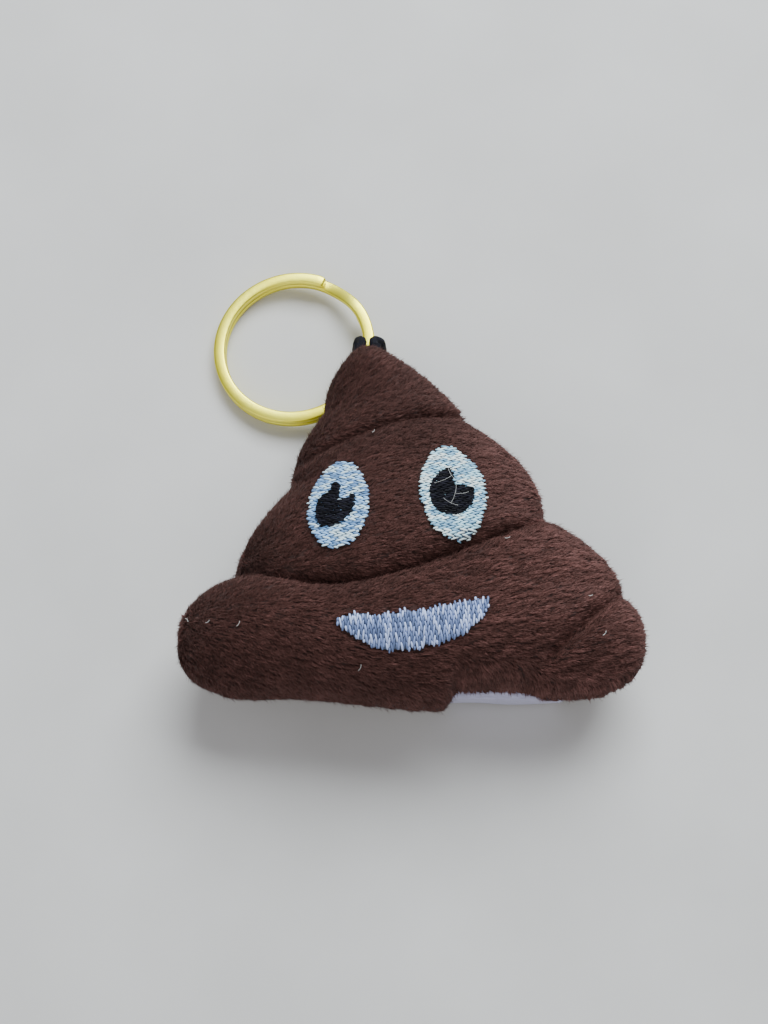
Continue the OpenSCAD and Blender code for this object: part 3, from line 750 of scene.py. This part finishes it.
def fill_stitches(name, inside, box, angle, pitch, length, lift, mats, seed, width=0.2, thick=0.12, arch=0.13, ragged=0.18, slant=0.10, phase=0.37):
    """Rows of short satin stitches across a region of the front, each one an arched thread that dives at its ends."""
    r = np.random.default_rng(seed)
    ca, sa = math.cos(angle), math.sin(angle)
    cx, cy, reach = (box[0] + box[2]) / 2, (box[1] + box[3]) / 2, 0.5 * math.hypot(box[2] - box[0], box[3] - box[1])
    starts = []
    for k, v in enumerate(np.arange(-reach, reach, pitch)):
        s = np.arange(-reach, reach, 0.05)
        xs, ys = cx + s * ca - v * sa, cy + s * sa + v * ca
        hit = inside(xs, ys)
        if not hit.any():
            continue
        edge = np.flatnonzero(np.diff(np.concatenate([[0], hit.astype(int), [0]])))
        for a, b in zip(edge[::2], edge[1::2]):
            lo, hi = s[a] + r.normal() * ragged, s[min(b, len(s) - 1)] + r.normal() * ragged
            if hi - lo < 0.25:
                continue
            first = lo - ((lo - k * phase * length) % length)
            cuts = [lo] + [c for c in np.arange(first + length, hi, length) if c - lo > 0.3 and hi - c > 0.3] + [hi]
            for c0, c1 in zip(cuts[:-1], cuts[1:]):
                starts.append((c0, c1, v, k))
    st = np.array(starts)
    M = len(st)
    seg, sides = 7, 6
    f = np.linspace(0, 1, seg)[None, :]
    s = st[:, 0:1] + (st[:, 1:2] - st[:, 0:1]) * f
    way = np.where(st[:, 3:4] % 2 > 0.5, 1.0, -1.0)
    v = st[:, 2:3] + way * slant * (f - 0.5) * 2 * np.minimum(1, (st[:, 1:2] - st[:, 0:1]) / length) + r.normal(size=(M, 1)) * 0.025
    xs, ys = cx + s * ca - v * sa, cy + s * sa + v * ca
    rise = arch * (1 + 0.25 * r.normal(size=(M, 1))) * np.power(np.sin(np.pi * np.clip(f, 0.0, 1.0)), 0.6) - 0.06
    zs = skin_z(xs, ys) + lift + rise
    nrm = skin_normal(xs, ys)
    c = np.stack([xs, ys, zs], -1)
    t = np.gradient(c, axis=1)
    t /= np.linalg.norm(t, axis=-1, keepdims=True)
    side = np.cross(nrm, t)
    side /= np.linalg.norm(side, axis=-1, keepdims=True)
    up = np.cross(t, side)
    taper = (0.55 + 0.45 * np.power(np.sin(np.pi * np.clip(f, 0.02, 0.98)), 0.5))[..., None]
    wid = width * (1 + 0.08 * r.normal(size=(M, 1, 1))) * taper
    phi = np.arange(sides) / sides * 2 * np.pi
    ring = [c + np.cos(a) * wid * side + np.sin(a) * thick * taper * up for a in phi]
    V = np.stack(ring, 2).reshape(M, seg * sides, 3)
    i, j = np.meshgrid(np.arange(seg - 1), np.arange(sides), indexing="ij")
    a, b = (i * sides + j).ravel(), (i * sides + (j + 1) % sides).ravel()
    q = np.stack([a, a + sides, b + sides, b], -1)
    cap0 = np.array([[0, 1, 2, 3], [0, 3, 4, 5]])
    last = (seg - 1) * sides
    cap1 = np.array([[last + 3, last + 2, last + 1, last], [last + 5, last + 4, last + 3, last]])
    q = np.concatenate([q, cap0, cap1])
    Q = (np.arange(M)[:, None, None] * seg * sides + q[None]).reshape(-1, 4)
    tone = np.clip(r.integers(0, 3, M) + 0, 0, 2)
    ob = raw_mesh(name, V.reshape(-1, 3), quads=Q, mats=mats, quad_mat=np.repeat(tone, len(q)))
    return ob


def underlay(name, inside, box, lift, mats, step=0.3):
    """The flat ground of underlay stitches beneath a fill: a thin closed patch."""
    xs, ys = np.arange(box[0], box[2], step), np.arange(box[1], box[3], step)
    X, Y = np.meshgrid(xs, ys)
    cell = inside(X + step / 2, Y + step / 2)[:-1, :-1]
    Z = skin_z(X, Y)
    top = np.stack([X, Y, Z + lift], -1).reshape(-1, 3)
    low = np.stack([X, Y, Z + lift - 0.3], -1).reshape(-1, 3)
    W = len(xs)
    K = len(top)
    i, j = np.nonzero(cell)
    a = i * W + j
    q = [np.stack([a, a + 1, a + W + 1, a + W], -1), np.stack([a + K, a + W + K, a + W + 1 + K, a + 1 + K], -1)]
    pad = np.pad(cell, 1)
    for di, dj, e0, e1 in ((-1, 0, 0, 1), (0, 1, 1, W + 1), (1, 0, W + 1, W), (0, -1, W, 0)):
        m = pad[1 + i + di, 1 + j + dj] == 0
        s, e = a[m] + e0, a[m] + e1
        q.append(np.stack([s + K, e + K, e, s], -1))
    Q = np.concatenate(q)
    used, inv = np.unique(Q, return_inverse=True)
    return raw_mesh(name, np.concatenate([top, low])[used], quads=inv.reshape(-1, 4), mats=mats)


# the underlay beneath the white fills is dark navy, not white: painted shade for the gaps between the stitches
under_white_fill_painted_shade = noisy("white_underlay_painted_shade", (0.05, 0.07, 0.12), (0.13, 0.18, 0.29), 2500, 0.8)
under_black = noisy("black_underlay", (0.002, 0.002, 0.003), (0.004, 0.004, 0.006), 2500, 0.8)

for side_name in ("left", "right"):
    e = EYES[side_name]
    inside = lambda x, y, e=e: in_outline(x, y, e)  # noqa: E731
    ex, ey = np.array(e).T
    box = (ex.min() - 1, ey.min() - 1, ex.max() + 1, ey.max() + 1)
    left = side_name == "left"
    ang = math.radians(-4 if left else 3)
    eye = fill_stitches(f"{side_name}_eye_stitches", inside, box, ang, 0.35, 1.15, 0.6, left_eye_shaded_thread_mats if left else right_eye_lit_thread_mats, 31 if left else 32, ragged=0.13, slant=0.15, width=0.165)
    eye_under = underlay(f"{side_name}_eye_underlay", lambda x, y, e=e: in_outline(x, y, e, -0.3), box, 0.5, [under_white_fill_painted_shade])
    pin = lambda x, y, s=side_name: in_outline(x, y, PUPILS[s])  # noqa: E731
    pupil = fill_stitches(f"{side_name}_pupil_stitches", pin, box, ang, 0.32, 1.2, 0.82, black_mats, 41 if left else 42, ragged=0.12, slant=0.1, width=0.17)
    pup_under = underlay(f"{side_name}_pupil_underlay", lambda x, y, s=side_name: in_outline(x, y, PUPILS[s], -0.1), box, 0.8, [under_black], step=0.15)
    for ob, slot in ((eye, "white_thread"), (eye_under, "white_thread"), (pupil, "black_thread"), (pup_under, "black_thread")):
        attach(ob, "plush")
    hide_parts(f"{side_name}_eye_white")
    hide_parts(f"{side_name}_pupil")

sbox = (-9, -30, 17, -19)
smile = fill_stitches("smile_stitches", lambda x, y: in_outline(x, y, SMILE), sbox, math.radians(93), 0.35, 1.25, 0.6, smile_shaded_thread_mats, 51, ragged=0.16, slant=0.11, phase=0.5, width=0.165)
smile_under = underlay("smile_underlay", lambda x, y: in_outline(x, y, SMILE, -0.3), sbox, 0.5, [under_white_fill_painted_shade])
for ob in (smile, smile_under):
    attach(ob, "plush")
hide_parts("smile")


# ------------------------------------------------------------------ sewing threads
brown_thread = noisy("brown_sewing_thread", (0.018, 0.009, 0.007), (0.035, 0.017, 0.013), 3000, 0.6)


def running_stitch(name, xs, fy, replaces):
    """Short stitches sunk in a crease: each one a small arc between two needle holes."""
    parts = []
    for a, b in zip(xs[:-1], xs[1:]):
        f = np.linspace(0.08, 0.92, 9)
        x = a + (b - a) * f
        y = fy(x)
        z = skin_z(x, y) + 0.22 * np.sin(np.pi * f) - 0.05
        parts.append(tube(np.stack([x, y, z], -1), 0.13, 7))
    ob = join_parts(name, parts, [brown_thread])
    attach(ob, "plush")
    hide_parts(replaces)
    return ob


running_stitch("upper_crease_threads", np.arange(-11.5, 11.6, 2.0), crease1_y, "upper_crease_stitch")
running_stitch("lower_crease_threads", np.arange(-19.0, 21.1, 2.1), crease2_y, "lower_crease_stitch")
running_stitch("lobe_crease_threads", np.arange(24.0, 32.5, 1.9), crease3_y, "lobe_crease_stitch")

parts = []
for x in np.arange(-1, 8.1, 2.2):  # the hand-sewn closing in the bottom seam
    a = np.linspace(-1, 1, 9)
    parts.append(tube(np.stack([x + 0.35 * a, BOTTOM_Y + SKIN + float(edge_shift(x, BOTTOM_Y)) - 0.30 * np.cos(a * 1.5), SEAM_BODY + 0.95 * a], -1), 0.14, 7))
closing = join_parts("closing_threads", parts, [brown_thread])
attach(closing, "plush")
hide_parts("closing_stitch")

# ------------------------------------------------------------------ cord loop
cord_mat = noisy("black_braid", (0.003, 0.003, 0.006), (0.008, 0.008, 0.015), 2200, 0.7, bump=0.4, bump_scale=6000, spec=0.15)
LOOP_X, LOOP_Y, LOOP_Z = -2.6, 26.1, 8.6
BAND_X = -14.6 + (26.4 - 1.85) / 2 * math.cos(math.radians(5))
strand = [(0, -3.0, 0), (0, -2.0, 0), (0.03, -1.0, -0.1), (0.1, -0.3, -0.4), (0.25, 0.25, -1.0), (0.5, 0.6, -1.9), (0.9, 0.7, -3.1), (1, 0.65, -4.4), (1, 0.6, -5.6)]
NEAR = [1.45, 1.3, 1.0, 0.9, 1.05, 1.5, 1.9, 2.0, 2.1]  # the strands close in where they leave the seam
route = [(mix(LOOP_X, BAND_X, smooth(a)) - w, LOOP_Y + b, LOOP_Z + c) for (a, b, c), w in zip(strand, NEAR)]
route += [(BAND_X + 2.15 * math.cos(math.radians(a)), LOOP_Y + 0.55, 2.9 - 2.05 * math.sin(math.radians(a))) for a in range(150, 29, -20)]
route += [(mix(LOOP_X, BAND_X, smooth(a)) + w, LOOP_Y + b, LOOP_Z + c) for (a, b, c), w in zip(strand[::-1], NEAR[::-1])]


def resample(pts, n):
    """A smooth curve through points, evenly stepped."""
    p = np.array(pts, float)
    q = np.concatenate([[2 * p[0] - p[1]], p, [2 * p[-1] - p[-2]]])
    out = []
    for i in range(len(p) - 1):
        a, b, c, d = q[i], q[i + 1], q[i + 2], q[i + 3]
        for t in np.linspace(0, 1, 16, endpoint=False):
            out.append(0.5 * (2 * b + (c - a) * t + (2 * a - 5 * b + 4 * c - d) * t**2 + (3 * b - a - 3 * c + d) * t**3))
    out = np.array(out + [p[-1]])
    s = np.concatenate([[0], np.cumsum(np.linalg.norm(np.diff(out, axis=0), axis=1))])
    g = np.linspace(0, s[-1], n)
    return np.stack([np.interp(g, s, out[:, k]) for k in range(3)], -1)


def braid(phi, s):
    return 1.0 + 0.09 * np.cos(4 * (phi + 2.3 * s)) * np.cos(4 * (phi - 2.3 * s)) + 0.02 * np.cos(16 * phi)


cord_pts = resample(route, 150)
v, q, t = tube(cord_pts, 0.68, 32, profile=braid)
cord = raw_mesh("cord_loop", v, t, q, [cord_mat])
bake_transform(cord)
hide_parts("hanging_loop")

# ------------------------------------------------------------------ split ring
gold = noisy("gilt_wire", (0.98, 0.86, 0.06), (1.0, 0.93, 0.11), 240, 0.36, metallic=1.0, bump=0.06, bump_scale=1500)
RC = np.array([-14.6, 27.2, 1.22 * math.cos(math.radians(5)) + 13.2 * math.sin(math.radians(5))])
RM, HALF_W, HALF_H = (26.4 - 1.85) / 2, 1.85 / 2, 0.6
RAMP_DIR, RAMP_A = 49.0, 36.0


def ring_path(a):
    """Radius and height of the wire's middle at a degrees along it from its upper end."""
    flat, lev = 360 - RAMP_A, HALF_H + 0.02
    h = np.where(a < flat, lev, np.where(a > flat + RAMP_A, -lev, lev - 2 * lev * smooth((a - flat) / RAMP_A)))
    sway = dip(a - (flat + RAMP_A / 2), 16)
    return RM - 0.22 * sway, h


total = 360 * 2 - RAMP_A
aa = np.linspace(0, total, 520)
rr, hh = ring_path(aa)
dirs = np.radians(RAMP_DIR + RAMP_A / 2 + aa)
# a flat wire with well rounded edges
phi = np.arange(20) / 20 * 2 * np.pi
sec = np.stack([np.sign(np.cos(phi)) * np.abs(np.cos(phi)) ** 0.42 * HALF_W, np.sign(np.sin(phi)) * np.abs(np.sin(phi)) ** 0.38 * (HALF_H - 0.01)], -1)
tilt = math.radians(5)
V = []
for r0, h0, a0, k in zip(rr, hh, dirs, range(len(aa))):
    end = min(k, len(aa) - 1 - k)
    s = 1.0 if end > 3 else (0.72, 0.88, 0.95, 0.985)[end]
    radial = r0 + sec[:, 0] * s
    pts = np.stack([radial * math.cos(a0), radial * math.sin(a0), h0 + sec[:, 1] * s], -1)
    V.append(pts)
V = np.concatenate(V)
V = np.stack([V[:, 0] * math.cos(tilt) - V[:, 2] * math.sin(tilt), V[:, 1], V[:, 0] * math.sin(tilt) + V[:, 2] * math.cos(tilt)], -1) + RC
S = len(phi)
i, j = np.meshgrid(np.arange(len(aa) - 1), np.arange(S), indexing="ij")
a, b = i * S + j, i * S + (j + 1) % S
q = np.stack([a, b, b + S, a + S], -1).reshape(-1, 4)[:, ::-1]
c0, c1 = len(V), len(V) + 1
V = np.concatenate([V, [V[:S].mean(0)], [V[-S:].mean(0)]])
j = np.arange(S)
last = (len(aa) - 1) * S
t = np.concatenate([np.stack([np.full(S, c0), j, (j + 1) % S], -1), np.stack([np.full(S, c1), last + (j + 1) % S, last + j], -1)])
ring = raw_mesh("split_ring_wire", V, t, q, [gold])
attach(ring, "ring")
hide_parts("split_ring")

# ------------------------------------------------------------------ care label
# the label is white satin; its greyish lavender colour is painted shade, for the shadow it hangs in under the bottom
# seam
label_painted_shade_mat = noisy("label_satin_painted_shade", (0.41, 0.40, 0.56), (0.55, 0.54, 0.72), 700, 0.5, bump=0.35, bump_scale=5000, stretch=(1, 6, 6), sheen=0.2)
LABEL_TOP, LABEL_L, LABEL_GAP, CLOTH = 11.3, 10.7, 0.22, 0.13


def label_line(out, f):
    """The hanging line of the label, from the seam (0) to its fold (1), out from its inner layer."""
    f = np.asarray(f, float)
    y = BOTTOM_Y + 1.7 - (1.1 + out) * smooth((f + 0.04) / 0.24) + 1.5 * np.maximum(0, f - 0.2) ** 2
    return np.stack([y, LABEL_TOP - LABEL_L * f], -1)


# two layers of cloth with a rounded fold at the lower edge, as one closed strip
fl = np.linspace(0, 1, 30)
turn = label_line(LABEL_GAP / 2, 1.0)
bend = np.array([turn + LABEL_GAP / 2 * np.array([-math.cos(a), -math.sin(a)]) for a in np.linspace(0, math.pi, 10)[1:-1]])
line = np.concatenate([label_line(LABEL_GAP, fl), bend, label_line(0.0, fl[::-1])])
tg = np.gradient(line, axis=0)
tg /= np.linalg.norm(tg, axis=1, keepdims=True)
nn = np.stack([tg[:, 1], -tg[:, 0]], -1)  # towards the outside of the folded strip
inside_line = line - nn * CLOTH * (1 if nn[5, 0] < 0 else -1) * 0.6
xs = np.linspace(10.0, 26.5, 40)


def label_sheet(curve):
    g = np.stack([np.stack([np.full(len(curve), x), curve[:, 0], curve[:, 1]], -1) for x in xs])
    drop = (LABEL_TOP - g[..., 2]) / LABEL_L
    g[..., 1] += 0.16 * np.sin((g[..., 0] - 10) * 0.42 + 0.6) * drop + 0.05 * value_noise(g[..., 0] / 2.2, g[..., 2] / 2.6, 8) * drop
    g[..., 2] += 0.12 * drop * np.sin((g[..., 0] - 10) * 0.2)
    return g


A, Bm = label_sheet(line), label_sheet(inside_line)
m, n = len(xs) - 1, len(line) - 1
k = (m + 1) * (n + 1)
bd = border(m, n)
rim = np.stack([bd, bd + k, np.roll(bd, -1) + k, np.roll(bd, -1)], -1)
quads = np.concatenate([grid_quads(m, n, 0, False), grid_quads(m, n, k, True), rim[:, ::-1]])
label = raw_mesh("care_label_cloth", np.concatenate([A.reshape(-1, 3), Bm.reshape(-1, 3)]), quads=quads, mats=[label_painted_shade_mat])
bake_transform(label)
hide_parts("care_label")

# ------------------------------------------------------------------ the CAD pieces that stay
node_mats = {
    "perimeter_seam": brown_thread,
    "loop_tails": cord_mat,
    "loop_bar_tack": brown_thread,
}
for name, mat in node_mats.items():
    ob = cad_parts[name]
    ob.data.materials.clear()
    ob.data.materials.append(mat)

# ------------------------------------------------------------------ a few white lint fibres caught in the pile
lint_mat, _ = principled("lint", (0.75, 0.75, 0.72), 0.6)
lint = []
r = np.random.default_rng(5)
for x, y, a in ((-1.5, 7.0, 1.2), (-28.4, -21.6, 2.2), (-20.4, -23.6, 0.9), (-3.3, -29.6, 1.0), (29.3, -19.3, 0.3), (31.2, -24.6, 0.9), (17.5, -11.5, 0.1), (-25.0, -22.8, 0.4)):
    s = np.linspace(-1, 1, 9)
    L = 0.32 + 0.15 * r.random()
    px = x + L * s * math.cos(a) - 0.12 * s * s * math.sin(a)
    py = y + L * s * math.sin(a) + 0.12 * s * s * math.cos(a)
    lint.append(tube(np.stack([px, py, skin_z(px, py) + 0.86 + 0.08 * s], -1), 0.035, 5))
for x, y, a, L in ((8.6, -2.9, 0.5, 1.5), (9.6, -1.9, -1.1, 1.4), (10.1, -5.2, 1.3, 1.6), (9.4, -6.6, -0.5, 1.2), (11.2, -5.0, 0.2, 1.0)):
    s = np.linspace(-1, 1, 13)
    px = x + L * s * math.cos(a) - 0.2 * s * s * math.sin(a)
    py = y + L * s * math.sin(a) + 0.2 * s * s * math.cos(a)
    lint.append(tube(np.stack([px, py, skin_z(px, py) + 1.12 + 0.05 * np.cos(2 * s)], -1), 0.016, 5))
lint = join_parts("lint_fibres", lint, [lint_mat])
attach(lint, "plush")

# ------------------------------------------------------------------ floor and light
floor_mat = noisy("pale_floor", (0.60, 0.59, 0.57), (0.66, 0.65, 0.63), 30, 0.75)
bpy.ops.mesh.primitive_plane_add(size=3.0, location=(0, 0, 0))
floor = bpy.context.active_object
floor.name = "floor"
floor.data.materials.append(floor_mat)


def area(name, loc, size, power, color=(1, 1, 1), target=(0, 0, 0)):
    d = bpy.data.lights.new(name, "AREA")
    d.shape = "RECTANGLE"
    d.size, d.size_y = size
    d.energy = power
    d.color = color
    o = bpy.data.objects.new(name, d)
    bpy.context.scene.collection.objects.link(o)
    o.location = loc
    o.rotation_euler = (Vector(target) - Vector(loc)).to_track_quat("-Z", "Y").to_euler()
    return o


area("window", (0.15, 0.46, 0.58), (0.6, 0.45), 10.2, (0.90, 0.96, 1.0))
area("room", (-0.25, -0.5, 0.6), (0.9, 0.9), 2.8, (1.0, 0.97, 0.94))
world = bpy.data.worlds.new("world")
bpy.context.scene.world = world
world.use_nodes = True
world.node_tree.nodes["Background"].inputs["Color"].default_value = (0.86, 0.9, 1.0, 1)
world.node_tree.nodes["Background"].inputs["Strength"].default_value = 0.35
